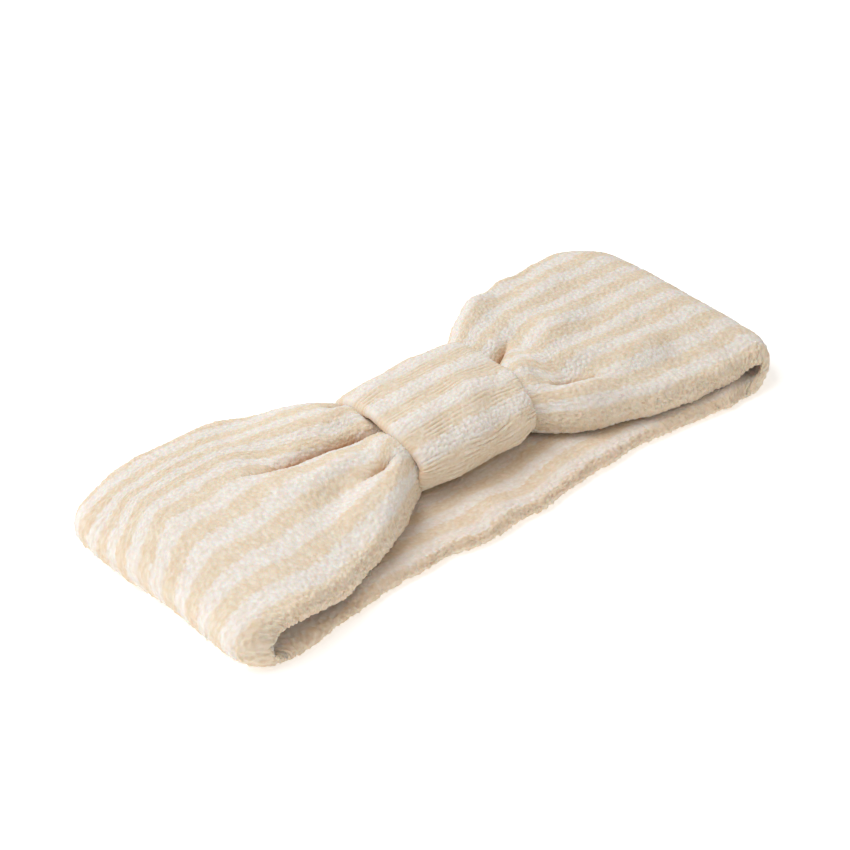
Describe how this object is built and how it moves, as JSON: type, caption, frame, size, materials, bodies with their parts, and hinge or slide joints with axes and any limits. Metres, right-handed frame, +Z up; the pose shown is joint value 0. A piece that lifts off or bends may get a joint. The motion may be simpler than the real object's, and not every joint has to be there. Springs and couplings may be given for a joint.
{
  "type": "spa headband",
  "caption": "Soft striped terry spa headband: a flat double-layer loop with a bow front, gathered by a centre wrap, opening to go over the head.",
  "frame": {"origin": "on the underside, at the middle of the footprint of the headband lying flat", "axes": "+X along the band from the left fold to the right fold, -Y towards the open front edge, +Z up, from the back panel to the bow"},
  "size_m": [0.25, 0.1, 0.029],
  "materials": {
    "striped_terry": "matte",
    "wrap_terry": "matte",
    "sewing_thread": "matte"
  },
  "bodies": {
    "back": {"back_outer_layer": "striped_terry", "back_inner_layer": "striped_terry", "back_front_seam_thread": "sewing_thread", "back_rear_seam_thread": "sewing_thread"},
    "left_wing": {"left_wing_outer_layer": "striped_terry", "left_wing_inner_layer": "striped_terry", "left_wing_front_seam_thread": "sewing_thread", "left_wing_rear_seam_thread": "sewing_thread"},
    "right_wing": {"right_wing_outer_layer": "striped_terry", "right_wing_inner_layer": "striped_terry", "right_wing_front_seam_thread": "sewing_thread", "right_wing_rear_seam_thread": "sewing_thread"},
    "bow": {"waist_left_gather": "striped_terry", "waist_right_gather": "striped_terry", "closing_seam_thread": "sewing_thread", "gathering_thread_left": "sewing_thread", "gathering_thread_right": "sewing_thread", "wrap_outer_layer": "wrap_terry", "wrap_inner_layer": "wrap_terry", "wrap_seam_allowance": "wrap_terry", "wrap_tack_left": "sewing_thread", "wrap_tack_right": "sewing_thread"}
  },
  "joints": [
    {"name": "front_lift", "type": "slide", "parent": "back", "child": "bow", "axis": [0, 0, 1], "range_m": [0, 0.045], "stiffness_N_per_m": 20},
    {"name": "left_fold_hinge", "type": "hinge", "parent": "back", "child": "left_wing", "pos_m": [-0.112, 0, 0.02], "axis": [0, -1, 0], "range_deg": [0, 34]},
    {"name": "right_fold_hinge", "type": "hinge", "parent": "back", "child": "right_wing", "pos_m": [0.112, 0, 0.02], "axis": [0, 1, 0], "range_deg": [0, 34]}
  ],
  "couplings": [
    {"joint": "left_fold_hinge", "follows": "front_lift", "rad_per_m": 12.9},
    {"joint": "right_fold_hinge", "follows": "front_lift", "rad_per_m": 12.9}
  ]
}
